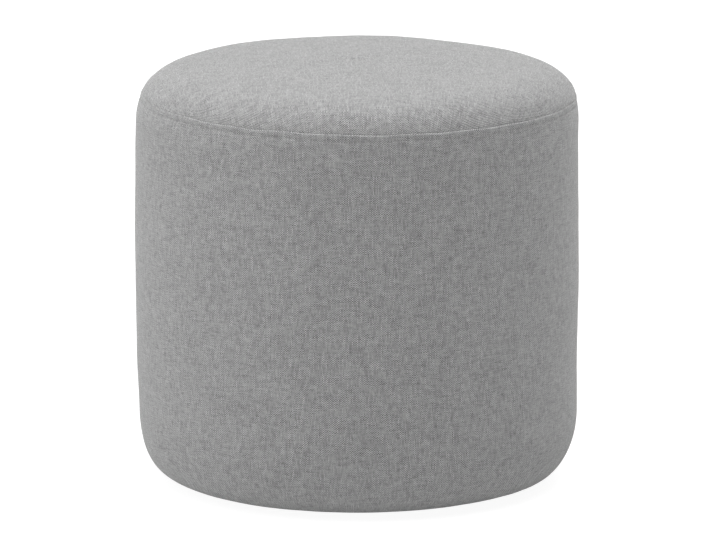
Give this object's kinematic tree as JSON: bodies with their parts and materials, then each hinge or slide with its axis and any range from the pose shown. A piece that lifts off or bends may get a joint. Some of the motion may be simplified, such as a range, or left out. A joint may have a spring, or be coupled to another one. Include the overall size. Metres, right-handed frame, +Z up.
{
  "type": "upholstered footstool",
  "caption": "Round drum-shaped footstool in grey woven cloth: low crowned top panel, plain seam on the soft shoulder, straight side panel turned under at the rounded foot.",
  "frame": {"origin": "on the floor, under the middle of the drum", "axes": "+Z up along the drum's axis, -Y towards the side that the picture shows, +X to its right"},
  "size_m": [0.4522, 0.4522, 0.4328],
  "materials": {
    "woven_cloth": "matt grey melange weave with a soft sheen",
    "under_cloth": "matt dark felted cloth"
  },
  "bodies": {
    "root": {"top_panel": "woven_cloth", "side_panel": "woven_cloth", "under_panel": "under_cloth"}
  },
  "joints": []
}
